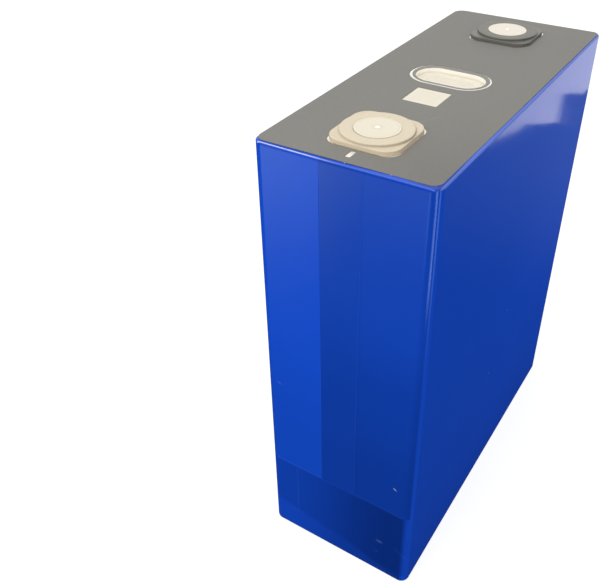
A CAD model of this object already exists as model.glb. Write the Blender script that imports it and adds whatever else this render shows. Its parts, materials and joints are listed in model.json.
"""Looks for the prismatic battery cell: film wrap, lid film, terminals, vent and stage.

Lengths in the helpers are millimetres, in the same frame as the solids.
"""

import json
import math
from math import cos, sin, pi, sqrt, radians

import bpy
import bmesh
from mathutils import Matrix, Vector

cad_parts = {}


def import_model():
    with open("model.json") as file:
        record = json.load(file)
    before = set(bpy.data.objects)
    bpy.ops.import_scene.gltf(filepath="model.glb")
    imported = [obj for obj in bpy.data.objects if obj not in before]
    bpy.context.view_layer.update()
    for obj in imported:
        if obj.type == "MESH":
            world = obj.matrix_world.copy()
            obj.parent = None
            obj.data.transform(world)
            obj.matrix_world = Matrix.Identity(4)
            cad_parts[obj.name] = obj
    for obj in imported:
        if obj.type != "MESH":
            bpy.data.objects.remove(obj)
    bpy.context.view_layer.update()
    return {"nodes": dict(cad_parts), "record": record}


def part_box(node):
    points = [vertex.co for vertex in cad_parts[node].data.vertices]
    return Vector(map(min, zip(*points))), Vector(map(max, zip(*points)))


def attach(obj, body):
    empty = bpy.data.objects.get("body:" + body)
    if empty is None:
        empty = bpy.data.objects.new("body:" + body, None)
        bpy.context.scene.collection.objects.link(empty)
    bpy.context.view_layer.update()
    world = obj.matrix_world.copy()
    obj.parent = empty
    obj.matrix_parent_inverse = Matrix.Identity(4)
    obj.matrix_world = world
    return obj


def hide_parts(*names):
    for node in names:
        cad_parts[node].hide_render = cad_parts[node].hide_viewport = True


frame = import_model()
MM = 0.001


# ============================================================ sizes from the frame
def box_mm(node):
    lo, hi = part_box(node)
    return [c / MM for c in lo], [c / MM for c in hi]


W_LO, W_HI = box_mm("wrap_film")
HX, HY, H = W_HI[0], W_HI[1], W_HI[2]
F_LO, F_HI = box_mm("top_film")
FILM_HX, FILM_HY, FILM_Z0, FILM_Z1 = F_HI[0], F_HI[1], F_LO[2], F_HI[2]
L_LO, L_HI = box_mm("lid_plate")
LID_HX, LID_HY, LID_Z0, LID_Z1 = L_HI[0], L_HI[1], L_LO[2], L_HI[2]
NB_LO, NB_HI = box_mm("negative_terminal_body")
PB_LO, PB_HI = box_mm("positive_terminal_body")
ND_LO, ND_HI = box_mm("negative_terminal_disc")
NEG_X = (NB_LO[0] + NB_HI[0]) / 2
POS_X = (PB_LO[0] + PB_HI[0]) / 2
BASE_SQ = NB_HI[0] - NB_LO[0]
BOSS_TOP = NB_HI[2]
DISC_TOP = ND_HI[2]
DISC_BOT = ND_LO[2]
V_LO, V_HI = box_mm("vent_disc")
B_LO, B_HI = box_mm("vent_film_border")
C_LO, C_HI = box_mm("vent_cover_film")

CORNER_R = 4.0
BASE_R = 6.5
BOSS_R = 13.6
DISC_R = 8.5
CUT_SQ, CUT_R = 28.0, 5.15
VENT_L, VENT_W = 29.0, 15.9
RING_L, RING_W = B_HI[1] - B_LO[1] + 0.2, B_HI[0] - B_LO[0] + 0.7
CUT_L, CUT_W = 33.9, 21.0
WINDOW_SQ, WINDOW_X, WINDOW_Y = 14.4, -22.25, 0.15
MARK_X, MARK_L, MARK_W = 79.05, 4.5, 1.95

# The lid group of this cell as it was put together: it stands a little proud of the wrap's rounded
# edge and sits a hair off centre across the cell.
RISE = 0.4
SHIFT_Y = 0.3
VENT_DX, VENT_DY = 0.3, 0.6
LEAN, LIFT = 0.14, 0.25         # the wrap draws in and rises a little at the top of the lapped corner
FILM_Z1 += RISE
LID_Z1 = FILM_Z1 - 0.15
FILM_Z0 = FILM_Z1 - 0.13
BASE_TOP = 206.15 + RISE
BOSS_TOP += RISE
DISC_TOP += RISE
C_RISE = RISE


# ====================================================================== outlines
def rounded_rect(hx, hy, r, cx=0.0, cy=0.0, n=10):
    pts = []
    for k, (sx, sy) in enumerate(((1, 1), (-1, 1), (-1, -1), (1, -1))):
        for i in range(n + 1):
            a = (k + i / n) * pi / 2
            pts.append((cx + sx * (hx - r) + r * cos(a), cy + sy * (hy - r) + r * sin(a)))
    return pts


def rounded_quad(corners, radii, d=0.0, n=12):
    """Four-cornered sheet, anticlockwise from +X +Y, each corner with its own radius, grown by d."""
    pts = []
    grown = [(x + d * (1 if x > 0 else -1), y + d * (1 if y > 0 else -1)) for x, y in corners]
    for k in range(4):
        p, a, b = grown[k], grown[k - 1], grown[(k + 1) % 4]
        r = radii[k] + d
        u = Vector((a[0] - p[0], a[1] - p[1])).normalized()
        v = Vector((b[0] - p[0], b[1] - p[1])).normalized()
        half = u.angle(v) / 2
        t = r / math.tan(half)
        m = (u + v).normalized() * (r / sin(half))
        c = Vector(p) + m
        s0, s1 = Vector(p) + u * t - c, Vector(p) + v * t - c
        a0, a1 = math.atan2(s0.y, s0.x), math.atan2(s1.y, s1.x)
        while a1 < a0:
            a1 += 2 * pi
        for i in range(n + 1):
            q = a0 + (a1 - a0) * i / n
            pts.append((c.x + r * cos(q), c.y + r * sin(q)))
    return pts


def circle(r, cx=0.0, cy=0.0, n=128):
    return [(cx + r * cos(2 * pi * (i + 0.5) / n), cy + r * sin(2 * pi * (i + 0.5) / n)) for i in range(n)]


def obround(length, width, cx=0.0, cy=0.0, n=40):
    r = width / 2
    h = length / 2 - r
    pts = [(cx + r * cos(pi * i / n), cy + h + r * sin(pi * i / n)) for i in range(n + 1)]
    return pts + [(cx - r * cos(pi * i / n), cy - h - r * sin(pi * i / n)) for i in range(n + 1)]


def round_square(side, radius, cx, cy, n=192):
    half = side / 2
    a = half - radius
    pts = []
    for i in range(n):
        t = 2 * pi * (i + 0.5) / n
        c, s = abs(cos(t)), abs(sin(t))
        big, small = max(c, s), min(c, s)
        if half * small / big <= a:
            rho = half / big
        else:
            d = a * (c + s)
            rho = d + sqrt(max(0.0, radius * radius - (2 * a * a - d * d)))
        pts.append((cx + rho * cos(t), cy + rho * sin(t)))
    return pts


def plus_outline(size, bar, cx, cy):
    h, b = size / 2, bar / 2
    return [(cx + x, cy + y) for x, y in (
        (h, -b), (h, b), (b, b), (b, h), (-b, h), (-b, b),
        (-h, b), (-h, -b), (-b, -b), (-b, -h), (b, -h), (b, -b))]


def fillet(p0, centre_sign, r, steps=4):
    return [(r * (1 - cos(pi / 2 * i / steps)), r * sin(pi / 2 * i / steps)) for i in range(steps + 1)]


# ======================================================================== meshes
def to_object(name, bm, mat, angle=32.0, weighted=True):
    bmesh.ops.recalc_face_normals(bm, faces=bm.faces[:])
    mesh = bpy.data.meshes.new(name)
    bm.to_mesh(mesh)
    bm.free()
    mesh.shade_smooth()
    mesh.set_sharp_from_angle(angle=radians(angle))
    mesh.materials.append(mat)
    obj = bpy.data.objects.new(name, mesh)
    bpy.context.scene.collection.objects.link(obj)
    if weighted:
        m = obj.modifiers.new("weighted_normals", "WEIGHTED_NORMAL")
        m.keep_sharp = True
        m.weight = 100
        m.mode = "FACE_AREA"
    return obj


def add_ring(bm, loop, z):
    if callable(z):
        return [bm.verts.new((x * MM, y * MM, z(x, y) * MM)) for x, y in loop]
    return [bm.verts.new((x * MM, y * MM, z * MM)) for x, y in loop]


def wall(bm, a, b):
    n = len(a)
    for i in range(n):
        j = (i + 1) % n
        bm.faces.new((a[i], a[j], b[j], b[i]))


def loft(name, rings, mat, angle=32.0):
    bm = bmesh.new()
    made = [add_ring(bm, l, z) for l, z in rings]
    for a, b in zip(made, made[1:]):
        wall(bm, a, b)
    bm.faces.new(made[0])
    bm.faces.new(made[-1])
    return to_object(name, bm, mat, angle)


def ring_solid(name, rings, mat, angle=32.0):
    bm = bmesh.new()
    made = [add_ring(bm, l, z) for l, z in rings]
    for a, b in zip(made, made[1:] + made[:1]):
        wall(bm, a, b)
    return to_object(name, bm, mat, angle)


def plate(name, outer, holes, mat, angle=32.0):
    bm = bmesh.new()
    stacks = [[add_ring(bm, l, z) for l, z in s] for s in [outer] + holes]
    for s in stacks:
        for a, b in zip(s, s[1:]):
            wall(bm, a, b)
    for level in (0, -1):
        edges = []
        for s in stacks:
            loop = s[level]
            for i in range(len(loop)):
                edges.append(bm.edges.get((loop[i], loop[(i + 1) % len(loop)])))
        bmesh.ops.triangle_fill(bm, use_beauty=True, use_dissolve=False, edges=edges)
    return to_object(name, bm, mat, angle)


# ================================================================== shader helper
class S:
    """A scalar shader socket with arithmetic."""

    def __init__(self, b, sock):
        self.b, self.sock = b, sock

    def _op(self, op, *args):
        n = self.b.nt.nodes.new("ShaderNodeMath")
        n.operation = op
        for i, a in enumerate((self,) + args):
            if isinstance(a, S):
                self.b.nt.links.new(a.sock, n.inputs[i])
            else:
                n.inputs[i].default_value = float(a)
        return S(self.b, n.outputs[0])

    def __add__(self, o): return self._op("ADD", o)
    __radd__ = __add__
    def __mul__(self, o): return self._op("MULTIPLY", o)
    __rmul__ = __mul__
    def __sub__(self, o): return self._op("SUBTRACT", o)
    def __rsub__(self, o): return (self * -1.0) + o
    def __truediv__(self, o): return self._op("DIVIDE", o)
    def abs(self): return self._op("ABSOLUTE")
    def sqrt(self): return self._op("SQRT")
    def power(self, o): return self._op("POWER", o)
    def min(self, o): return self._op("MINIMUM", o)
    def max(self, o): return self._op("MAXIMUM", o)
    def clamp(self): return self.max(0.0).min(1.0)

    def step(self, a, b):
        """0 below a, 1 above b, smooth between. a may be above b for a falling step."""
        n = self.b.nt.nodes.new("ShaderNodeMapRange")
        n.interpolation_type = "SMOOTHSTEP"
        self.b.nt.links.new(self.sock, n.inputs["Value"])
        lo, hi, t0, t1 = (a, b, 0.0, 1.0) if a < b else (b, a, 1.0, 0.0)
        n.inputs["From Min"].default_value = lo
        n.inputs["From Max"].default_value = hi
        n.inputs["To Min"].default_value = t0
        n.inputs["To Max"].default_value = t1
        return S(self.b, n.outputs["Result"])

    def line(self, centre, half, soft):
        """A soft line of half-width half round centre."""
        return (self - centre).abs().step(half + soft, max(half - soft, 0.0))


class B:
    """Builder for one material's nodes."""

    def __init__(self, name, world=False):
        if world:
            self.nt = world.node_tree
            return
        self.mat = bpy.data.materials.new(name)
        self.mat.use_nodes = True
        self.nt = self.mat.node_tree
        self.nt.nodes.clear()
        self.out = self.nt.nodes.new("ShaderNodeOutputMaterial")
        self.p = self.nt.nodes.new("ShaderNodeBsdfPrincipled")
        self.nt.links.new(self.p.outputs[0], self.out.inputs["Surface"])
        tc = self.nt.nodes.new("ShaderNodeTexCoord")
        self.obj = tc.outputs["Object"]
        sep = self.nt.nodes.new("ShaderNodeSeparateXYZ")
        self.nt.links.new(self.obj, sep.inputs[0])
        self.x, self.y, self.z = [S(self, o) * 1000.0 for o in sep.outputs]

    def value(self, v):
        n = self.nt.nodes.new("ShaderNodeValue")
        n.outputs[0].default_value = v
        return S(self, n.outputs[0])

    def vec(self, x, y, z):
        n = self.nt.nodes.new("ShaderNodeCombineXYZ")
        for i, a in enumerate((x, y, z)):
            if isinstance(a, S):
                self.nt.links.new(a.sock, n.inputs[i])
            else:
                n.inputs[i].default_value = a
        return n.outputs[0]

    def noise(self, scale, detail=2.0, rough=0.5, vec=None, distort=0.0):
        """Noise in 0..1. scale is per mm on the coordinate in mm."""
        n = self.nt.nodes.new("ShaderNodeTexNoise")
        n.inputs["Scale"].default_value = scale
        n.inputs["Detail"].default_value = detail
        n.inputs["Roughness"].default_value = rough
        n.inputs["Distortion"].default_value = distort
        self.nt.links.new(vec if vec is not None else self.vec(self.x, self.y, self.z), n.inputs["Vector"])
        return S(self, n.outputs["Fac"])

    def voronoi(self, scale, vec=None, feature="F1", rand=1.0):
        n = self.nt.nodes.new("ShaderNodeTexVoronoi")
        n.feature = feature
        n.inputs["Scale"].default_value = scale
        n.inputs["Randomness"].default_value = rand
        self.nt.links.new(vec if vec is not None else self.vec(self.x, self.y, self.z), n.inputs["Vector"])
        return S(self, n.outputs["Distance"]), n

    def mix(self, fac, a, b, mode="MIX"):
        n = self.nt.nodes.new("ShaderNodeMix")
        n.data_type = "RGBA"
        n.blend_type = mode
        n.clamp_factor = True
        if isinstance(fac, S):
            self.nt.links.new(fac.sock, n.inputs[0])
        else:
            n.inputs[0].default_value = fac
        for i, c in ((6, a), (7, b)):
            if isinstance(c, tuple):
                n.inputs[i].default_value = (c[0], c[1], c[2], 1.0)
            else:
                self.nt.links.new(c, n.inputs[i])
        return n.outputs[2]

    def scale_colour(self, colour, s):
        n = self.nt.nodes.new("ShaderNodeVectorMath")
        n.operation = "SCALE"
        if isinstance(colour, tuple):
            n.inputs[0].default_value = colour
        else:
            self.nt.links.new(colour, n.inputs[0])
        if isinstance(s, S):
            self.nt.links.new(s.sock, n.inputs["Scale"])
        else:
            n.inputs["Scale"].default_value = s
        return n.outputs[0]

    def bump(self, height, dist_mm, strength=1.0, normal=None):
        n = self.nt.nodes.new("ShaderNodeBump")
        n.inputs["Strength"].default_value = strength
        n.inputs["Distance"].default_value = dist_mm * MM
        self.nt.links.new(height.sock, n.inputs["Height"])
        if normal is not None:
            self.nt.links.new(normal, n.inputs["Normal"])
        return n.outputs[0]

    def set(self, **kw):
        names = dict(color="Base Color", rough="Roughness", metal="Metallic", spec="Specular IOR Level", ior="IOR",
                     coat="Coat Weight", coat_rough="Coat Roughness", normal="Normal", sss="Subsurface Weight",
                     sss_radius="Subsurface Radius", sss_scale="Subsurface Scale", alpha="Alpha", aniso="Anisotropic",
                     tint="Specular Tint", sheen="Sheen Weight", transmission="Transmission Weight",
                     emission="Emission Color", glow="Emission Strength")
        for k, v in kw.items():
            sock = self.p.inputs[names[k]]
            if isinstance(v, S):
                self.nt.links.new(v.sock, sock)
            elif isinstance(v, bpy.types.NodeSocket):
                self.nt.links.new(v, sock)
            elif isinstance(v, tuple) and len(v) == 3 and sock.type == "RGBA":
                sock.default_value = (v[0], v[1], v[2], 1.0)
            else:
                sock.default_value = v
        return self


# ===================================================================== materials
def wrap_material():
    m = B("wrap_blue_pet")
    x, y, z = m.x, m.y, m.z
    near = x.step(-HX + 2.4, -HX + 0.9)          # 1 on the lapped narrow face
    far = x.step(HX - 2.4, HX - 0.9)             # 1 on the other narrow face
    ends = near + far
    blotch = m.noise(0.018, 3.0, 0.55)
    fine = m.noise(0.35, 4.0, 0.6)
    wander = (m.noise(0.06, 2.0) - 0.5) * 0.25

    flap = ends * (z + wander).step(45.15, 44.95) * y.abs().step(35.2, 31.8)
    above = 1.0 - ends * (z + wander).step(45.15, 44.95)
    strip = near * (y + wander).line(0.1, 8.2, 0.10) * above
    side_a = near * (y + wander).step(-8.0, -8.2) * above
    side_fall = z.step(150.0, 105.0) * 0.13 + z.step(105.0, 60.0) * 0.09
    side_b = near * (y + wander).step(8.2, 8.4) * above
    shade = 1.0 - strip * (0.27 + z.step(155.0, 95.0) * 0.12 + z.step(95.0, 55.0) * 0.03) - side_a * (0.24 + side_fall) - side_b * z.step(135.0, 60.0) * 0.12
    # the doubled flap: one tone, deeper towards the corner
    shade = shade * (1.0 - flap * (0.30 + y.step(30.0, -28.0) * 0.36))
    # a soft pale wedge along the foot of the lapped face
    foot_edge = z + y * -0.20 + (m.noise(0.05, 2.0) - 0.5) * 5.0
    foot = near * foot_edge.step(12.5, 8.5) * y.step(-44.0, -24.0)
    shade = shade * (1.0 + foot * (0.20 + y.step(2.0, -18.0) * 0.24))
    shade = shade * (0.975 + blotch * 0.05)
    colour = m.scale_colour((0.0085, 0.092, 0.775), shade)

    # cut edges of the sheet catch the light; a soft step shows where the sheet below ends
    cut_edge = near * (y + wander).line(-8.25, 0.16, 0.14) * above
    under_edge = near * (y + wander).line(8.45, 0.12, 0.2) * above
    flap_edge = ends * (z + wander).line(45.15, 0.25, 0.25) * (1.0 - near * y.line(0.1, 8.2, 1.0) * 0.75)
    under_flap = near * y.line(21.5, 0.22, 0.35) * z.step(44.6, 43.0) * z.step(13.0, 15.0)
    under_flap2 = near * (y + z * 0.02).line(-20.0, 0.2, 0.4) * z.step(44.6, 43.0) * z.step(16.0, 22.0)
    flap_edge = flap_edge * y.abs().step(32.5, 31.0)
    lines = cut_edge * 0.16 + under_edge * 0.08 + flap_edge * (0.02 + y.step(0.0, 22.0) * 0.10) + under_flap * 0.16 + under_flap2 * 0.02
    colour = m.mix(lines.clamp(), colour, (0.05, 0.16, 0.86))
    dark = near * (y + wander).line(-8.85, 0.35, 0.4) * above * 0.10
    colour = m.mix(dark.clamp(), colour, (0.0, 0.012, 0.20))

    # the turned edge: a bright crest on the lapped side, one soft light band along the wide sides
    inset = (HX - x.abs()).min(HY - y.abs())
    wide_side = y.step(-HY + 2.0, -HY + 1.2)
    share = (near * y.step(10.0, -30.0)).max(wide_side * (x.step(40.0, -70.0) * 0.7 + 0.3))
    z = z - share * LIFT
    on_lip = z.step(H - 0.75, H - 0.55)
    dist_x, dist_y = HX - x.abs(), HY - y.abs()
    narrow_lip = on_lip * (dist_y - dist_x).step(-0.3, 0.5)
    wide_lip = on_lip * (1.0 - (dist_y - dist_x).step(-0.5, 0.3))
    shift = share * LEAN
    crest_line = narrow_lip * (dist_x - shift).line(0.38, 0.12, 0.15)
    bright = y.step(-2.0, 16.0) * near
    patchy = m.noise(0.30, 2.0, 0.5, m.vec(y, 0.0, 0.0)).step(0.30, 0.50) * 0.35 + 0.65
    colour = m.mix((crest_line * (1.0 - bright)).clamp(), colour, (0.055, 0.165, 0.70))
    colour = m.mix((crest_line * bright * patchy).clamp(), colour, (0.62, 0.70, 0.86))
    colour = m.mix((wide_lip * inset.step(1.7, 1.1) * z.step(H - 0.60, H - 0.30) * 0.95).clamp(), colour, (0.085, 0.165, 0.62))
    tuck_x = x.step(-HX + 3.4, -HX + 2.6) * y.step(-20.0, -30.0)
    tuck_y = y.step(-HY + 3.4, -HY + 2.6) * x.step(-55.0, -76.0)
    tuck = tuck_x.max(tuck_y) * on_lip * inset.step(0.95, 1.25)
    colour = m.mix((tuck * 0.75).clamp(), colour, (0.004, 0.03, 0.26))
    under_lip = near * (z.step(H - 1.25, H - 0.95) * z.step(H - 0.30, H - 0.50)) * (dist_x - shift).step(0.30, 0.16)
    colour = m.mix((under_lip * 0.35).clamp(), colour, (0.0, 0.03, 0.45))
    gap = under_lip
    # a crease of the wrap where the lapped face meets the rounded corner
    crease = near * y.line(-32.25, 0.16, 0.30) * z.step(160.0, 203.0) * z.step(H - 0.5, H - 1.5)
    colour = m.mix((crease * 0.16).clamp(), colour, (0.12, 0.28, 0.95))
    z = m.z

    # handling marks: a speck, two scuffs, a hair-thin scratch, a few dust grains
    def spot(cy, cz, ry, rz, rot, soft):
        c, s = cos(radians(rot)), sin(radians(rot))
        u = ((y - cy) * c + (z - cz) * s) / ry
        v = ((z - cz) * c - (y - cy) * s) / rz
        r = (u * u + v * v).sqrt() + (fine - 0.5) * 0.5
        return near * r.step(1.0, 1.0 - soft)

    marks = [(spot(-27.6, 61.3, 1.30, 0.26, 34.0, 0.5), 0.85, (0.75, 0.78, 0.85)),
             (spot(-21.8, 22.0, 2.5, 1.35, 4.0, 0.9), 0.30, (0.20, 0.30, 0.75)),
             (spot(-20.6, 14.0, 1.5, 0.6, -15.0, 0.9), 0.10, (0.20, 0.30, 0.75)),
             (spot(29.2, 93.3, 1.7, 0.6, 25.0, 0.9), 0.24, (0.30, 0.38, 0.80)),
             (spot(23.5, 13.0, 3.0, 0.5, 8.0, 0.9), 0.14, (0.20, 0.32, 0.85))]
    scratch = near * (z + (y + 30.5) * -0.9 + (y + 32.0) * (y + 32.0) * 0.10 - 22.0).abs().step(0.25, 0.06) * y.step(-29.0, -29.6)
    for mask, w, c in marks:
        colour = m.mix((mask * w).clamp(), colour, c)
    colour = m.mix(scratch * 0.25, colour, (0.12, 0.22, 0.6))
    dust_d, _ = m.voronoi(0.040)
    dust = dust_d.step(0.016, 0.008)
    colour = m.mix(dust * 0.35, colour, (0.35, 0.45, 0.8))

    rough = 0.045 + fine * 0.03 + dust * 0.3 + lines.clamp() * 0.15 + on_lip * 0.12
    wave = m.noise(0.022, 2.0, 0.4)
    pores = m.noise(1.6, 2.0, 0.5)
    h = wave * 1.0 + pores * 0.004
    n1 = m.bump(h, 0.25, 0.30)
    m.set(color=colour, rough=rough, spec=0.5 * (1.0 - gap * 0.6) * (1.0 - wide_lip * 0.68) * (1.0 - narrow_lip * 0.35), normal=n1)
    return m.mat


def film_material(name="lid_film_grey"):
    m = B(name)
    grain = m.noise(1.15, 4.0, 0.72)
    coarse = m.noise(0.035, 3.0, 0.5)
    speck = m.noise(3.2, 2.0, 0.7)
    tone = 1.0 + (grain - 0.5) * 0.30 + (coarse - 0.5) * 0.07 + (speck - 0.5) * 0.16
    # a little deeper towards the corner by the negative terminal and along the front edge
    tone = tone * (1.0 - m.x.step(-20.0, -86.0) * m.y.step(20.0, -34.0) * 0.10 - m.y.step(-8.0, -34.0) * 0.03)
    colour = m.scale_colour((0.2215, 0.2170, 0.2045), tone)
    d, _ = m.voronoi(0.09)
    grit = d.step(0.02, 0.008)
    colour = m.mix(grit * 0.35, colour, (0.45, 0.44, 0.40))
    # two hair scratches beside the negative terminal
    s1 = ((m.y + 9.2) + (m.x + 42.0) * 0.55 - 0.0).abs().step(0.16, 0.04) * m.x.line(-41.0, 4.5, 1.0)
    colour = m.mix(s1 * 0.30, colour, (0.5, 0.5, 0.48))
    # the cut side of the sheet is in shadow, with crumbs of adhesive on it
    side = m.z.step(FILM_Z1 - 0.05, FILM_Z1 - 0.10)
    rim = side * (m.x.abs().step(FILM_HX - 3.0, FILM_HX - 2.5) + m.y.abs().step(FILM_HY - 3.0, FILM_HY - 2.5)).clamp()
    colour = m.mix(rim, colour, (0.085, 0.105, 0.16))
    crumb = m.noise(0.55, 1.0, 0.5, m.vec(m.x, m.y, 0.0))
    colour = m.mix((rim * crumb.step(0.70, 0.74)).clamp(), colour, (0.8, 0.78, 0.7))
    b = m.bump(grain * 0.7 + speck * 0.3, 0.05, 0.5)
    m.set(color=colour, rough=0.55 + grain * 0.12, spec=0.30 * (1.0 - rim), normal=b)
    return m.mat


def brushed(name, rgb, rough=0.22, along="x", freq=9.0, amount=0.5, metal=1.0):
    m = B(name)
    v = m.vec(m.x * (0.03 if along == "x" else 1.0), m.y * (0.03 if along == "y" else 1.0), m.z)
    lines = m.noise(freq, 3.0, 0.6, v)
    cloud = m.noise(0.12, 3.0, 0.5)
    colour = m.scale_colour(rgb, 0.96 + (lines - 0.5) * 0.10 + (cloud - 0.5) * 0.06)
    b = m.bump(lines, 0.01, 0.25 * amount)
    m.set(color=colour, metal=metal, rough=rough + (lines - 0.5) * 0.10 + (cloud - 0.5) * 0.06, normal=b)
    return m.mat


VENT_WALL_FOOT = V_HI[2] + 0.15


def lid_material():
    m = B("lid_aluminium")
    v = m.vec(m.x * 0.05, m.y, m.z)
    lines = m.noise(7.0, 3.0, 0.6, v)
    cloud = m.noise(0.15, 3.0, 0.5)
    # laser-etched patch inside the film's window: an even, unreadable grain of fine cells
    cell = m.noise(2.6, 1.0, 0.5, m.vec(m.x * 1.0, m.y * 0.8, 0.0))
    inside = (m.x - WINDOW_X).abs().step(5.6, 5.0) * (m.y - WINDOW_Y).abs().step(5.6, 5.0)
    etch = inside * cell.step(0.46, 0.56)
    round_window = (m.x - WINDOW_X).abs().step(9.5, 8.5)
    in_vent = (m.x - 0.3).abs().step(9.2, 8.6) * m.z.step(LID_Z1 - 0.08, LID_Z1 - 0.20)
    base = m.mix(round_window, (0.99, 0.965, 0.90), (0.93, 0.880, 0.755))
    base = m.mix(in_vent, base, (0.99, 0.955, 0.865))
    colour = m.scale_colour(base, 0.975 + (lines - 0.5) * 0.05 + (cloud - 0.5) * 0.04 - etch * 0.04)
    b = m.bump(lines, 0.008, 0.12)
    outer = 1.0 - round_window
    m.set(color=colour, metal=1.0 - in_vent * 0.55 - outer * (1.0 - in_vent) * 0.40, rough=0.20 + (lines - 0.5) * 0.06 + etch * 0.05 + in_vent * 0.2,
          normal=b, emission=(1.0, 0.92, 0.77), glow=in_vent * m.z.step(VENT_WALL_FOOT, VENT_WALL_FOOT + 0.5) * 0.17)
    return m.mat


def vent_material():
    """Pressed bare aluminium of the vent: bright, with draw lines along its length."""
    m = B("can_aluminium_vent")
    v = m.vec(m.x, m.y * 0.06, m.z)
    lines = m.noise(1.1, 3.0, 0.6, v)
    cloud = m.noise(0.3, 3.0, 0.5)
    # tone follows the pressed outline: a shaded foot, then soft ridges
    dy = ((m.y - VENT_DY).abs() - (VENT_L - VENT_W) / 2).max(0.0)
    dx = (m.x - VENT_DX).abs()
    r = (dx * dx + dy * dy).sqrt()
    colour = m.scale_colour((0.945, 0.895, 0.78), 0.985 + (lines - 0.5) * 0.12 + (cloud - 0.5) * 0.07 - r.line(7.35, 0.30, 0.45) * 0.12
                            + r.line(4.6, 0.25, 0.5) * 0.05 - r.line(3.3, 0.3, 0.6) * 0.03)
    b = m.bump(lines * 0.8 + cloud * 0.5, 0.05, 0.35)
    m.set(color=colour, metal=0.70, rough=0.36 + (cloud - 0.5) * 0.10, normal=b)
    return m.mat


def disc_material():
    m = B("contact_aluminium")
    # turned face: fine rings about each terminal's own axis
    side = m.x.step(-0.5, 0.5)
    cx = side * (POS_X - NEG_X) + NEG_X
    dx = m.x - cx
    dy = m.y - SHIFT_Y
    r = (dx * dx + dy * dy).sqrt()
    rings = m.noise(6.0, 2.0, 0.6, m.vec(r, 0.0, 0.0))
    cloud = m.noise(0.5, 3.0, 0.55)
    soft = m.noise(0.22, 2.0, 0.5)
    nugget = r.step(0.95, 0.75)
    halo = r.step(2.9, 1.3) * (1.0 - nugget)
    colour = m.scale_colour((0.935, 0.880, 0.735), 0.975 + (rings - 0.5) * 0.03 + (cloud - 0.5) * 0.04 - halo * 0.05 + nugget * 0.10
                            - r.line(DISC_R - 0.95, 0.10, 0.16) * 0.10)
    colour = m.mix(side * 0.55, colour, (0.925, 0.875, 0.825))
    b = m.bump(rings * 0.6 + cloud * 0.5, 0.012, 0.3)
    m.set(color=colour, metal=0.92 - nugget * 0.6, rough=0.30 + (cloud - 0.5) * 0.12 + (soft - 0.5) * 0.08, normal=b,
          emission=(1.0, 0.97, 0.90), glow=nugget * 0.22 + r.line(DISC_R - 0.45, 0.12, 0.18) * 0.05)
    return m.mat


def terminal_radius(m, centre_x):
    dx = m.x - centre_x
    dy = m.y - SHIFT_Y
    return (dx * dx + dy * dy).sqrt()


def beige_material():
    m = B("natural_pps")
    flow = m.noise(0.16, 3.0, 0.55, m.vec(m.x, m.y, m.z * 2.0), 0.6)
    fine = m.noise(2.2, 3.0, 0.6)
    tone = 0.955 + flow * 0.07 + (fine - 0.5) * 0.03
    r = terminal_radius(m, NEG_X)
    # moulded walls read deeper than the faces: the foot's wall and the boss's wall
    foot_wall = m.z.step(BASE_TOP - 0.10, BASE_TOP - 0.35) * r.step(12.0, 12.6)
    boss_wall = m.z.step(BOSS_TOP - 0.12, BOSS_TOP - 0.35) * m.z.step(BASE_TOP - 0.05, BASE_TOP + 0.10) * r.step(12.0, 12.6)
    root = r.line(BOSS_R - 0.05, 0.22, 0.25) * m.z.step(BOSS_TOP - 0.3, BOSS_TOP - 0.5)
    collar = r.step(DISC_R + 1.4, DISC_R + 0.3)
    tone = tone * (1.0 - boss_wall * 0.14 - root * 0.14 - collar * 0.04)
    colour = m.scale_colour((0.722, 0.636, 0.484), tone)
    colour = m.mix((foot_wall * (0.45 + m.z.step(BASE_TOP - 0.4, BASE_TOP - 1.5) * 0.45)).clamp(), colour, (0.80, 0.655, 0.475))
    m.set(color=colour, rough=0.34 + (flow - 0.5) * 0.10, spec=0.45, sss=0.15,
          sss_radius=(1.0, 0.7, 0.45), sss_scale=0.0012, normal=m.bump(fine * 0.5 + flow, 0.03, 0.25))
    return m.mat


def black_material():
    m = B("black_pps")
    flow = m.noise(0.2, 3.0, 0.55)
    fine = m.noise(2.4, 3.0, 0.6)
    wall_side = m.z.step(BASE_TOP - 0.10, BASE_TOP - 0.35)
    edge = m.z.line(BASE_TOP - 0.05, 0.05, 0.15) + m.z.line(BOSS_TOP - 0.08, 0.05, 0.10)
    colour = m.scale_colour((0.102, 0.098, 0.088), 0.85 + flow * 0.3 + wall_side * 0.25 + edge.clamp() * 0.5)
    m.set(color=colour, rough=0.30 + (flow - 0.5) * 0.12 + (fine - 0.5) * 0.05, spec=0.55,
          normal=m.bump(fine * 0.5 + flow, 0.03, 0.3))
    return m.mat


def clear_material():
    m = B("clear_pet")
    nt = m.nt
    nt.nodes.remove(m.p)
    tr = nt.nodes.new("ShaderNodeBsdfTransparent")
    tr.inputs[0].default_value = (1.0, 1.0, 1.0, 1)
    gl = nt.nodes.new("ShaderNodeBsdfGlossy")
    gl.inputs["Roughness"].default_value = 0.05
    wave = m.noise(0.12, 2.0, 0.5)
    nt.links.new(m.bump(wave, 0.3, 0.4), gl.inputs["Normal"])
    fr = nt.nodes.new("ShaderNodeFresnel")
    fr.inputs[0].default_value = 1.45
    lw = S(m, fr.outputs[0]) * 0.12
    mx = nt.nodes.new("ShaderNodeMixShader")
    nt.links.new(lw.sock, mx.inputs[0])
    nt.links.new(tr.outputs[0], mx.inputs[1])
    nt.links.new(gl.outputs[0], mx.inputs[2])
    nt.links.new(mx.outputs[0], m.out.inputs["Surface"])
    return m.mat


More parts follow.
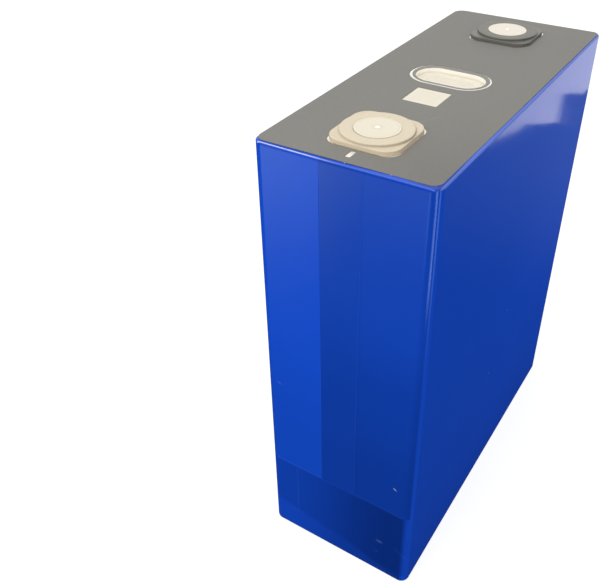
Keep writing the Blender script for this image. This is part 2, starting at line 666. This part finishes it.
def speckled(name, rgb, rough, metal=0.0, scale=1.2, amount=0.08, bump=0.02, spec=0.4):
    m = B(name)
    fine = m.noise(scale, 3.0, 0.6)
    cloud = m.noise(scale * 0.1, 2.0, 0.5)
    colour = m.scale_colour(rgb, 1.0 + (fine - 0.5) * amount * 2 + (cloud - 0.5) * amount)
    m.set(color=colour, rough=rough + (fine - 0.5) * 0.1, metal=metal, spec=spec, normal=m.bump(fine, bump, 0.4))
    return m.mat


def foil_stack(name, rgb):
    m = B(name)
    leaf = m.noise(12.0, 1.0, 0.5, m.vec(m.x * 0.02, m.y * 0.6, m.z * 0.6))
    cloud = m.noise(0.2, 3.0, 0.5)
    m.set(color=m.scale_colour(rgb, 0.9 + leaf * 0.15 + (cloud - 0.5) * 0.08), metal=1.0,
          rough=0.26 + leaf * 0.12, normal=m.bump(leaf, 0.05, 0.6))
    return m.mat


def roll_material():
    """Wound layers: obround rings about each roll's middle, seen on the ends."""
    m = B("electrode_roll")
    side = m.y.step(-0.5, 0.5)
    dy = (m.y - (side * 34.5 - 17.25)).abs()
    dx = (m.x.abs() - 67.8).max(0.0)
    r = (dx * dx + dy * dy).sqrt()
    layer = m.noise(3.5, 1.0, 0.4, m.vec(r, 0.0, 0.0))
    wrapc = m.mix(layer.step(0.42, 0.58), (0.62, 0.62, 0.60), (0.10, 0.10, 0.11))
    top = m.z.step(191.6, 191.9)
    low = m.z.step(4.2, 3.9)
    fine = m.noise(0.8, 3.0)
    colour = m.mix((top + low).clamp(), m.scale_colour((0.80, 0.81, 0.79), 0.95 + fine * 0.08), wrapc)
    m.set(color=colour, rough=0.45 + fine * 0.1, normal=m.bump(layer + fine * 0.3, 0.05, 0.4))
    return m.mat


MAT = {
    "wrap_blue_pet": wrap_material(),
    "lid_film_grey": film_material(),
    "clear_pet": clear_material(),
    "can_aluminium": brushed("can_aluminium", (0.90, 0.875, 0.80), 0.24, "x", 6.0, 0.5),
    "lid_aluminium": lid_material(),
    "contact_aluminium": disc_material(),
    "copper": brushed("copper", (0.86, 0.45, 0.30), 0.22, "x", 6.0),
    "natural_pps": beige_material(),
    "black_pps": black_material(),
    "seal_rubber": speckled("seal_rubber", (0.03, 0.03, 0.03), 0.6),
    "white_pp": speckled("white_pp", (0.76, 0.78, 0.76), 0.42, scale=0.9, amount=0.03),
    "bag_film": speckled("bag_film", (0.72, 0.77, 0.74), 0.22, scale=0.4, amount=0.03, bump=0.05),
    "electrode_roll": roll_material(),
    "foil_aluminium": foil_stack("foil_aluminium", (0.88, 0.88, 0.87)),
    "foil_copper": foil_stack("foil_copper", (0.85, 0.47, 0.32)),
    "weld_tape": speckled("weld_tape", (0.08, 0.30, 0.16), 0.35, scale=0.7, amount=0.08),
}

VENT_MAT = vent_material()

slots = {s["node"]: s["material_slot"] for s in frame["record"]["subparts"]}
for node, obj in frame["nodes"].items():
    obj.data.materials.clear()
    obj.data.materials.append(MAT[slots.get(node, "white_pp")])


def piece(obj, slot, *nodes):
    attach(obj, "root")
    if nodes:
        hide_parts(*nodes)
    return obj


# ===================================================================== film wrap
def side_points(lo, hi, cuts, step):
    """Even points from lo to hi, with extra ones tight round each cut."""
    pts = set()
    n = max(2, int(round((hi - lo) / step)))
    for i in range(n + 1):
        pts.add(round(lo + (hi - lo) * i / n, 4))
    for c, w in cuts:
        pts = {p for p in pts if abs(p - c) > w * 1.5 + 0.3 or p in (lo, hi)}
        for k in (-1.5, -0.75, -0.25, 0.25, 0.75, 1.5):
            q = round(c + k * w, 4)
            if lo < q < hi:
                pts.add(q)
    return sorted(pts)


def smooth(t):
    t = min(1.0, max(0.0, t))
    return t * t * (3 - 2 * t)


LAP = 0.11                      # one layer of film
BASE_IN = 0.10                  # bare level, so the doubled film stays inside the box


def film_height(side, u, z):
    """Outward height of the wrap over its bare level, in mm."""
    h = 0.0
    if side in ("-x", "+x"):
        if side == "-x":
            h += LAP * smooth((u + 8.35) / 0.25) * smooth((8.75 - u) / 0.7)
        flap = smooth((45.5 - z) / 0.9)
        h += LAP * flap
        under = smooth((u - 21.2) / 0.6) * smooth((44.6 - z) / 1.0) * smooth((z - 12.0) / 3.0)
        h += 0.07 * under
        h += 0.05 * sin(u * 0.16 + 0.6) * sin(z * 0.045 + 0.4) * smooth((33 - abs(u)) / 10)
    else:
        h += 0.05 * sin(u * 0.05 + 1.1) * sin(z * 0.04 + 0.9) * smooth((80 - abs(u)) / 20)
        h += 0.03 * smooth((abs(u) - 62.0) / 24.0) * smooth((40 - z) / 20)
    return h


def build_wrap():
    seq = []                     # (side, u, corner_index, angle)
    n_c = 12
    y_pts = side_points(-(HY - CORNER_R), HY - CORNER_R, [(-8.22, 0.12), (8.4, 0.35), (21.5, 0.3), (-21.5, 0.3)], 3.2)
    x_pts = side_points(-(HX - CORNER_R), HX - CORNER_R, [], 7.0)
    # anticlockwise, starting at the corner +X +Y
    for i in range(n_c + 1):
        seq.append(("c", 0, i / n_c * 90))
    for u in reversed(x_pts[1:-1]):
        seq.append(("+y", u, 90))
    for i in range(n_c + 1):
        seq.append(("c", 1, 90 + i / n_c * 90))
    for u in reversed(y_pts[1:-1]):
        seq.append(("-x", u, 180))
    for i in range(n_c + 1):
        seq.append(("c", 2, 180 + i / n_c * 90))
    for u in x_pts[1:-1]:
        seq.append(("-y", u, 270))
    for i in range(n_c + 1):
        seq.append(("c", 3, 270 + i / n_c * 90))
    for u in y_pts[1:-1]:
        seq.append(("+x", u, 0))

    corner = ((1, 1), (-1, 1), (-1, -1), (1, -1))

    def point(entry, inset, r):
        """Point on the outline inset by inset, with corner radius r."""
        side, u, a = entry
        hx, hy = HX - inset, HY - inset
        if side == "c":
            sx, sy = corner[u]
            t = radians(a)
            return (sx * (hx - r) + r * cos(t), sy * (hy - r) + r * sin(t))
        if side in ("+y", "-y"):
            return (u / (HX - CORNER_R) * (hx - r), hy if side == "+y" else -hy)
        return (hx if side == "+x" else -hx, u / (HY - CORNER_R) * (hy - r))

    def h_at(entry, z):
        side, u, a = entry
        if side == "c":
            sx, sy = corner[u]
            near_x = (u == 0 and a < 45) or (u == 1 and a > 135) or (u == 2 and a < 225) or (u == 3 and a > 315)
            flap = smooth((45.5 - z) / 0.9)
            w = abs(cos(radians(a)))
            h = LAP * flap * smooth((w - 0.80) / 0.19)
            # faint creases along the corner, from the forming of the film
            t = (a % 90) / 90
            h += 0.035 * (math.exp(-((t - 0.52) / 0.07) ** 2) - math.exp(-((t - 0.36) / 0.06) ** 2) * 0.7)
            return h
        return film_height(side, u, z)

    def corner_share(entry):
        side, u, a = entry
        k = {"-x": smooth((10.0 - u) / 40.0), "-y": 0.3 + 0.7 * smooth((40.0 - u) / 110.0), "+y": 0.0, "+x": 0.0}.get(side)
        if side == "c":
            k = (0.0, 0.0, 1.0, 0.3 * smooth((360 - a) / 60.0))[u]
        return k

    def lean(entry, z):
        return LEAN * corner_share(entry) * smooth((z - (H - 26.0)) / 25.0)

    def lift(entry, z):
        return LIFT * corner_share(entry) * smooth((z - (H - 14.0)) / 12.0)

    rows = []
    br = 1.3
    for i in range(6):
        a = pi / 2 * i / 5
        rows.append((br * (1 - sin(a)), br * (1 - cos(a))))
    lip = 0.55
    z_pts = side_points(br, H - lip, [(45.05, 0.15), (12.5, 1.0)], 7.5)
    rows += [(0.0, z) for z in z_pts[1:]]
    for i in range(1, 9):
        a = pi / 2 * i / 8
        rows.append((lip * (1 - cos(a)), H - lip + lip * sin(a)))

    bm = bmesh.new()
    rings = []
    for inset, z in rows:
        ring = []
        for e in seq:
            h = h_at(e, z)
            fade = smooth(z / 2.5) * smooth((H - z) / 1.2)
            off = inset + BASE_IN - min(BASE_IN + 0.12, h * fade)
            if z > H - lip - 0.01 or z < br:
                off = max(off, inset + 0.0)
            off += lean(e, z)
            r = max(0.6, CORNER_R - off)
            px, py = point(e, off, r)
            ring.append(bm.verts.new((px * MM, py * MM, (z + lift(e, z)) * MM)))
        rings.append(ring)
    # turned-in lip, with the wider corners of its opening, then the inner skin
    def plain(inset, r, z, wob=0.0):
        ring = []
        for k, e in enumerate(seq):
            px, py = point(e, inset + wob * sin(k * 1.7) * sin(k * 0.31), r)
            ring.append(bm.verts.new((px * MM, py * MM, (z + lift(e, z)) * MM)))
        return ring
    rings.append(plain(1.35, 3.0, H - 0.03))
    rings.append(plain(2.55, 4.4, H - 0.03, 0.03))
    rings.append(plain(2.57, 4.4, H - 0.2, 0.03))
    rings.append(plain(0.62, CORNER_R - 0.62, H - 0.2))
    for z in (H - 0.9, H * 0.5, 1.8):
        rings.append(plain(0.24, CORNER_R - 0.24, z))
    for i in range(4, -1, -1):
        a = pi / 2 * i / 5
        inset = 0.24 + 1.56 * (1 - sin(a))
        rings.append(plain(inset, CORNER_R - inset, 0.2 + 1.6 * (1 - cos(a))))
    for a, b in zip(rings, rings[1:]):
        wall(bm, a, b)
    bm.faces.new(rings[0])
    bm.faces.new(rings[-1])
    return to_object("wrap_film_skin", bm, MAT["wrap_blue_pet"], 60.0)


piece(build_wrap(), "wrap_blue_pet", "wrap_film")


# ====================================================================== lid film
def moved(pts, dx=0.0, dy=SHIFT_Y):
    return [(x + dx, y + dy) for x, y in pts]


def soft_plate(name, outer, holes, z0, z1, mat, edge=0.05):
    """Film sheet with cut edges slightly rounded. Outlines are functions of an offset."""
    o = [(outer(-edge), z1), (outer(-edge * 0.3), z1 - edge * 0.3), (outer(0), z1 - edge), (outer(0), min(z0, H - 0.02))]
    hs = [[(f(edge), z1), (f(edge * 0.3), z1 - edge * 0.3), (f(0), z1 - edge), (f(0), z0)] for f in holes]
    return plate(name, o, hs, mat)


SHEET = ((FILM_HX + 0.35, FILM_HY + 0.45), (-FILM_HX + 0.30, FILM_HY + 0.45), (-FILM_HX + 1.45, -FILM_HY + 0.90), (FILM_HX + 0.35, -FILM_HY + 0.05))
SHEET_R = (4.5, 3.8, 3.7, 3.0)
holes = [
    lambda d: moved(rounded_rect(CUT_SQ / 2 + d, CUT_SQ / 2 + d, CUT_R + d, NEG_X, 0)),
    lambda d: moved(rounded_rect(CUT_SQ / 2 + d, CUT_SQ / 2 + d, CUT_R + d, POS_X, 0)),
    lambda d: moved(obround(CUT_L + 2 * d, CUT_W + 2 * d), 0.50, 0.75),
    lambda d: rounded_rect(WINDOW_SQ / 2 + d, WINDOW_SQ / 2 + d, 0.45, WINDOW_X, WINDOW_Y, 5),
    lambda d: rounded_rect(MARK_L / 2 + d, MARK_W / 2 + d, 0.2, -MARK_X, 0.6, 4),
    lambda d: moved(plus_outline(MARK_L + 2 * d, MARK_W + 2 * d, MARK_X, 0), 0.0, 0.6),
]
piece(soft_plate("top_film_sheet", lambda d: rounded_quad(SHEET, SHEET_R, d), holes, FILM_Z0, FILM_Z1,
                 MAT["lid_film_grey"]), "lid_film_grey", "top_film")

# border and clear cover of the vent
BORDER_TOP = FILM_Z1 - 0.05


def vent_ring(grow):
    return moved(obround(VENT_L + grow, VENT_W + grow), VENT_DX, VENT_DY)


def border_ring(grow):
    """Outer outline of the cover's border, which was stuck on a little off centre."""
    return moved(obround(RING_L + grow, RING_W + grow), VENT_DX + 0.65, VENT_DY + 0.10)


piece(ring_solid("vent_border_ring", [
    (border_ring(0), FILM_Z0), (border_ring(0), BORDER_TOP - 0.03), (border_ring(-0.08), BORDER_TOP),
    (vent_ring(0.28), BORDER_TOP), (vent_ring(0.20), BORDER_TOP - 0.03), (vent_ring(0.20), FILM_Z0)],
    MAT["lid_film_grey"]), "lid_film_grey", "vent_film_border")
piece(loft("vent_clear_sheet", [
    (border_ring(0), BORDER_TOP + 0.02), (border_ring(0), BORDER_TOP + 0.07),
    (border_ring(-0.06), BORDER_TOP + 0.09)],
    MAT["clear_pet"]), "clear_pet", "vent_cover_film")


# ===================================================================== lid plate
VD_BOT, VD_TOP = V_LO[2], V_HI[2]
LOW = L_HI[2]
piece(plate("lid_plate_stamped", [
    (rounded_rect(LID_HX - 2.9, LID_HY - 2.9, 3.0), LID_Z1), (rounded_rect(LID_HX - 2.7, LID_HY - 2.7, 3.1), LID_Z1 - 0.08),
    (rounded_rect(LID_HX - 2.6, LID_HY - 2.6, 3.1), LOW), (rounded_rect(LID_HX, LID_HY, 3.1), LOW), (rounded_rect(LID_HX, LID_HY, 3.1), LID_Z0)], [
    [(moved(circle(7.5, NEG_X, 0, 64)), LID_Z1), (moved(circle(7.5, NEG_X, 0, 64)), LID_Z0)],
    [(moved(circle(7.5, POS_X, 0, 64)), LID_Z1), (moved(circle(7.5, POS_X, 0, 64)), LID_Z0)],
    [(vent_ring(0.5), LID_Z1), (vent_ring(0.15), LID_Z1 - 0.06), (vent_ring(0.0), LID_Z1 - 0.25),
     (vent_ring(-0.1), VD_TOP + 0.25), (vent_ring(-0.2), VD_TOP + 0.12), (vent_ring(-0.2), VD_BOT - 0.05), (vent_ring(-3.0), VD_BOT - 0.05), (vent_ring(-3.0), LID_Z0)],
    [(circle(4.5, 32.0, 0, 48), LID_Z1), (circle(4.5, 32.0, 0, 48), LID_Z1 - 0.7), (circle(3.1, 32.0, 0, 48), LID_Z1 - 0.7),
     (circle(3.1, 32.0, 0, 48), LID_Z1 - 1.7), (circle(1.7, 32.0, 0, 48), LID_Z1 - 1.7), (circle(1.7, 32.0, 0, 48), LID_Z0)],
], MAT["lid_aluminium"]), "lid_aluminium", "lid_plate")


def vent_rim(shrink):
    return vent_ring(-0.3 - shrink)


piece(loft("vent_disc_scored", [
    (vent_rim(3.2), VD_BOT + 0.1),
    (vent_rim(2.8), VD_BOT),
    (vent_rim(0.0), VD_BOT),
    (vent_rim(0.0), VD_TOP - 0.1),
    (vent_rim(0.2), VD_TOP),
    (vent_rim(1.5), VD_TOP),
    (vent_rim(1.9), VD_TOP - 0.06),
    (vent_rim(2.3), VD_TOP - 0.2),
    (vent_rim(4.6), VD_TOP - 0.2),
    (vent_rim(4.9), VD_TOP - 0.27),
    (vent_rim(5.3), VD_TOP - 0.27),
    (vent_rim(5.6), VD_TOP - 0.2),
    (vent_rim(9.0), VD_TOP - 0.16),
    (vent_rim(12.5), VD_TOP - 0.12)],
    VENT_MAT), "can_aluminium", "vent_disc")


# ===================================================================== terminals
def terminal(label, x, body_slot, disc_r):
    z0 = FILM_Z0

    def rs(shrink):
        return moved(round_square(BASE_SQ - 0.05 - shrink, BASE_R, x, 0), 0.0, SHIFT_Y + 0.12)

    def rc(r, n=192):
        return moved(circle(r, x, 0, n))

    rings = [
        (rc(11.4), z0), (rs(0.3), z0), (rs(0.0), z0 + 0.15), (rs(0.02), z0 + 0.5),
        (rs(0.14), BASE_TOP - 0.34), (rs(0.20), BASE_TOP - 0.19), (rs(0.34), BASE_TOP - 0.07), (rs(0.58), BASE_TOP - 0.01), (rs(0.75), BASE_TOP),
        # the boss: a fine crease at its root, drafted wall, rounded edge
        (rc(BOSS_R - 0.10), BASE_TOP - 0.01),
        (rc(BOSS_R - 0.20), BASE_TOP - 0.05),
        (rc(BOSS_R - 0.27), BASE_TOP + 0.02),
        (rc(BOSS_R - 0.33), BOSS_TOP - 0.30),
        (rc(BOSS_R - 0.39), BOSS_TOP - 0.15),
        (rc(BOSS_R - 0.54), BOSS_TOP - 0.04),
        (rc(BOSS_R - 0.76), BOSS_TOP),
        (rc(10.9), BOSS_TOP),
        (rc(disc_r + 0.60), BOSS_TOP - 0.02),
        (rc(disc_r + 0.25), BOSS_TOP - 0.05),
        (rc(disc_r + 0.07), BOSS_TOP - 0.14),
        (rc(disc_r + 0.05), 206.0),
        (rc(11.4), 206.0),
    ]
    piece(ring_solid(label + "_terminal_moulding", rings, MAT[body_slot], 35.0), body_slot, label + "_terminal_body")

    # contact face: eased rim, shallow turned groove, weld nugget in the middle
    t = DISC_TOP

    def nugget(rad, h):
        def f(px, py):
            a = math.atan2(py - SHIFT_Y, px - x)
            return t - 0.06 + h * (1 + 0.18 * sin(3 * a + 0.7) + 0.10 * sin(5 * a))
        return f

    n = 128
    rings = [
        (rc(5.15, n), 205.75), (rc(5.15, n), DISC_BOT), (rc(11.1, n), DISC_BOT),
        (rc(11.1, n), 205.9), (rc(disc_r, n), 205.9), (rc(disc_r, n), t - 0.30),
        (rc(disc_r - 0.04, n), t - 0.17), (rc(disc_r - 0.13, n), t - 0.07), (rc(disc_r - 0.28, n), t - 0.015),
        (rc(disc_r - 0.46, n), t), (rc(disc_r - 0.62, n), t - 0.01), (rc(disc_r - 0.80, n), t - 0.07), (rc(disc_r - 0.95, n), t - 0.10),
        (rc(disc_r - 1.15, n), t - 0.08), (rc(disc_r - 1.5, n), t - 0.07), (rc(2.6, n), t - 0.08), (rc(1.6, n), t - 0.13),
        (rc(1.15, n), t - 0.12), (rc(0.92, n), nugget(0.92, 0.0)), (rc(0.70, n), nugget(0.70, 0.14)),
        (rc(0.40, n), nugget(0.40, 0.20)), (rc(0.12, n), t + 0.02),
    ]
    piece(loft(label + "_contact_face", rings, MAT["contact_aluminium"], 40.0), "contact_aluminium", label + "_terminal_disc")


terminal("negative", NEG_X, "natural_pps", 8.45)
terminal("positive", POS_X, "black_pps", 8.6)


# ========================================================================= stage
def stage_floor():
    m = B("floor_paper")
    cloud = m.noise(0.004, 2.0, 0.5)
    fine = m.noise(0.7, 3.0, 0.6)
    tone = 0.99 + (cloud - 0.5) * 0.02 + (fine - 0.5) * 0.012
    m.set(color=m.scale_colour((0.42, 0.42, 0.42), tone), rough=0.8, spec=0.1)
    nt = m.nt
    # to the camera: white paper that still takes a soft contact shadow
    dif = nt.nodes.new("ShaderNodeBsdfDiffuse")
    nt.links.new(m.scale_colour((0.36, 0.36, 0.365), tone), dif.inputs[0])
    em = nt.nodes.new("ShaderNodeEmission")
    em.inputs[0].default_value = (1.0, 1.0, 1.0, 1.0)
    em.inputs[1].default_value = 0.79
    add = nt.nodes.new("ShaderNodeAddShader")
    nt.links.new(dif.outputs[0], add.inputs[0])
    nt.links.new(em.outputs[0], add.inputs[1])
    lp = nt.nodes.new("ShaderNodeLightPath")
    mx = nt.nodes.new("ShaderNodeMixShader")
    nt.links.new(lp.outputs["Is Camera Ray"], mx.inputs[0])
    nt.links.new(m.p.outputs[0], mx.inputs[1])
    nt.links.new(add.outputs[0], mx.inputs[2])
    nt.links.new(mx.outputs[0], m.out.inputs["Surface"])
    bm = bmesh.new()
    s = 6.0
    for q in ((-s, -s), (s, -s), (s, s), (-s, s)):
        bm.verts.new((q[0], q[1], 0.0))
    bm.faces.new(bm.verts[:])
    mesh = bpy.data.meshes.new("floor")
    bm.to_mesh(mesh)
    bm.free()
    mesh.materials.append(m.mat)
    o = bpy.data.objects.new("floor", mesh)
    bpy.context.scene.collection.objects.link(o)
    o.visible_glossy = False


stage_floor()


def card(name, corners, strength, colour=(1.0, 1.0, 1.0), soft=0.0):
    """A glowing panel seen only in reflections."""
    mat = bpy.data.materials.new(name)
    mat.use_nodes = True
    nt = mat.node_tree
    nt.nodes.clear()
    out = nt.nodes.new("ShaderNodeOutputMaterial")
    em = nt.nodes.new("ShaderNodeEmission")
    em.inputs[0].default_value = (*colour, 1.0)
    em.inputs[1].default_value = strength
    nt.links.new(em.outputs[0], out.inputs["Surface"])
    mesh = bpy.data.meshes.new(name)
    mesh.from_pydata([tuple(c) for c in corners], [], [tuple(range(len(corners)))])
    mesh.materials.append(mat)
    o = bpy.data.objects.new(name, mesh)
    bpy.context.scene.collection.objects.link(o)
    o.visible_camera = False
    o.visible_diffuse = False
    o.visible_shadow = False
    o.visible_transmission = False
    o.visible_volume_scatter = False
    return o


# A window with a lower sill and a raised block, mirrored at a glancing angle in the front wide face.
card("window_card", [(1.8, -1.25, -1.00), (1.8, -0.70, -0.735), (1.8, -0.605, -0.660), (1.8, -0.575, -0.632), (1.8, -0.465, -0.606),
                     (1.8, -0.471, -0.521), (1.8, -0.425, -0.508), (1.8, -0.412, -0.497), (1.8, -0.05, -0.44), (1.8, -0.05, 0.6), (1.8, -1.25, 0.6)],
     1.05, (1.0, 0.99, 0.94))


def world():
    w = bpy.data.worlds.new("studio")
    bpy.context.scene.world = w
    w.use_nodes = True
    nt = w.node_tree
    nt.nodes.clear()
    b = B("", world=w)
    out = nt.nodes.new("ShaderNodeOutputWorld")
    tc = nt.nodes.new("ShaderNodeTexCoord")
    sep = nt.nodes.new("ShaderNodeSeparateXYZ")
    nt.links.new(tc.outputs["Generated"], sep.inputs[0])
    x, y, z = [S(b, o) for o in sep.outputs]
    az = b.nt.nodes.new("ShaderNodeMath")
    az.operation = "ARCTAN2"
    nt.links.new(sep.outputs[1], az.inputs[0])
    nt.links.new(sep.outputs[0], az.inputs[1])
    a = S(b, az.outputs[0])
    # reflections: bright dome above, a dark table below that clears towards the light side
    left = a.step(radians(128.0), radians(141.0))
    up = z.step(-0.02, 0.12)
    low = z.step(-0.70, -0.44)
    side = a.step(radians(153.0), radians(143.0)) * 0.55 + 0.18
    low_left = z.step(-0.72, -0.38) * 0.20 + z.step(-0.56, -0.28) * 0.62 + low * low * side
    low_right = z.step(-0.60, -0.40) * a.line(0.0, radians(34.0), radians(10.0)) * 0.10
    gloss = up * 0.98 + (1.0 - up) * (low_left * left + low_right + 0.012)
    # tall soft lamps that draw the lines along the rounded corner
    below = z.step(0.0, -0.1)
    lamps = b.value(0.0)
    for centre, half, soft, s, fade in ((-127.0, 9.0, 6.0, 2.8, z.step(-0.640, -0.585)),
                                        (-90.0, 8.0, 6.0, 1.5, z.step(-0.71, -0.50) * 0.93 + 0.03)):
        c = radians(centre)
        lamps = lamps + a.line(c, radians(half), radians(soft)) * below * fade * s
    lp = nt.nodes.new("ShaderNodeLightPath")
    bg_g = nt.nodes.new("ShaderNodeBackground")
    tint = b.mix(up, (0.80, 1.0, 0.78), (1.0, 0.985, 0.95))
    total = nt.nodes.new("ShaderNodeVectorMath")
    total.operation = "ADD"
    nt.links.new(b.scale_colour(tint, gloss), total.inputs[0])
    nt.links.new(b.scale_colour((0.60, 1.0, 1.75), lamps), total.inputs[1])
    nt.links.new(total.outputs[0], bg_g.inputs[0])
    bg_g.inputs[1].default_value = 1.0
    bg_d = nt.nodes.new("ShaderNodeBackground")
    bg_d.inputs[0].default_value = (1.0, 0.99, 0.975, 1.0)
    bg_d.inputs[1].default_value = 0.62
    bg_c = nt.nodes.new("ShaderNodeBackground")
    bg_c.inputs[0].default_value = (1.0, 1.0, 1.0, 1.0)
    bg_c.inputs[1].default_value = 1.0
    m1 = nt.nodes.new("ShaderNodeMixShader")
    nt.links.new(lp.outputs["Is Glossy Ray"], m1.inputs[0])
    nt.links.new(bg_d.outputs[0], m1.inputs[1])
    nt.links.new(bg_g.outputs[0], m1.inputs[2])
    m2 = nt.nodes.new("ShaderNodeMixShader")
    nt.links.new(lp.outputs["Is Camera Ray"], m2.inputs[0])
    nt.links.new(m1.outputs[0], m2.inputs[1])
    nt.links.new(bg_c.outputs[0], m2.inputs[2])
    nt.links.new(m2.outputs[0], out.inputs["Surface"])


world()


def area(name, loc, target, size, power, colour=(1, 1, 1)):
    d = bpy.data.lights.new(name, "AREA")
    d.shape = "RECTANGLE"
    d.size, d.size_y = size
    d.energy = power
    d.color = colour
    o = bpy.data.objects.new(name, d)
    o.location = loc
    o.rotation_mode = "QUATERNION"
    o.rotation_quaternion = (Vector(target) - Vector(loc)).to_track_quat("-Z", "Y")
    bpy.context.scene.collection.objects.link(o)
    o.visible_glossy = False
    o.visible_camera = False
    return o


area("key", (-0.85, 0.30, 1.55), (0, 0, 0.12), (1.3, 1.3), 17.0, (1.0, 0.985, 0.96))
# a low fill beside the wide face, stronger towards its far end, kept below the lid
area("fill", (0.12, -0.236, 0.10), (0.12, 0.0, 0.10), (0.10, 0.17), 0.130)

# ======================================================================== camera
cd = bpy.data.cameras.new("camera")
cam = bpy.data.objects.new("camera", cd)
bpy.context.scene.collection.objects.link(cam)
right = Vector((0.5342219, -0.8453071, -0.0079311))
down = Vector((-0.4849733, -0.2987846, -0.8219055))
ahead = Vector((0.6923928, 0.4429263, -0.5695686))
rot = Matrix((right, -down, -ahead)).transposed()
cam.matrix_world = Matrix.Translation(Vector((-0.27535, -0.11326, 0.31946))) @ rot.to_4x4()
cd.sensor_width = 36.0
cd.lens = 45.666
cd.shift_x = -0.0359
cd.shift_y = -0.0504
cd.clip_start, cd.clip_end = 0.01, 50.0
bpy.context.scene.camera = cam

bpy.context.scene.view_settings.view_transform = "Standard"
bpy.context.scene.view_settings.look = "None"
bpy.context.scene.view_settings.exposure = 0.0
bpy.context.scene.view_settings.gamma = 1.0
